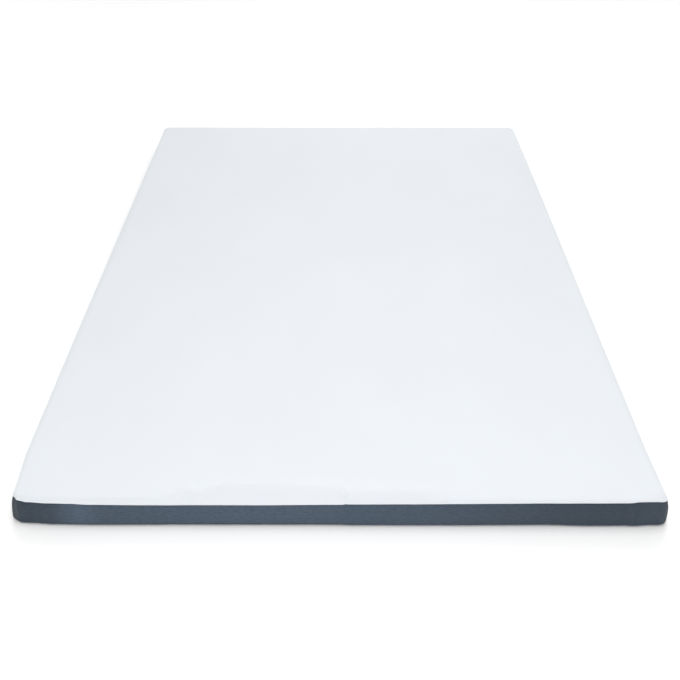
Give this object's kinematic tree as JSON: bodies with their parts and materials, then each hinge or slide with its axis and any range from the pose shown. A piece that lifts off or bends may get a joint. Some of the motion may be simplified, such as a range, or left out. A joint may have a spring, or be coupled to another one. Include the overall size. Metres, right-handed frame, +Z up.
{
  "type": "mattress topper",
  "caption": "Flat filled mattress topper for a 140 x 200 cm bed, with a smooth white knit top panel and a slate-grey cloth border round the side.",
  "frame": {"origin": "middle of the flat underside, which rests on a mattress or a floor", "axes": "+Z up, +Y along the length towards the far short side, +X to the right as seen from the near short side, which carries the gathers in its top seam"},
  "size_m": [1.425, 2.0047, 0.078],
  "materials": {
    "white_knit": "smooth fine stretch knit, matt with a faint soft sheen",
    "slate_cloth": "plain slate-grey border cloth, matt",
    "base_cloth": "plain dark base cloth, matt"
  },
  "bodies": {
    "root": {"top_panel": "white_knit", "border": "slate_cloth", "filled_pad": "base_cloth"}
  },
  "joints": []
}
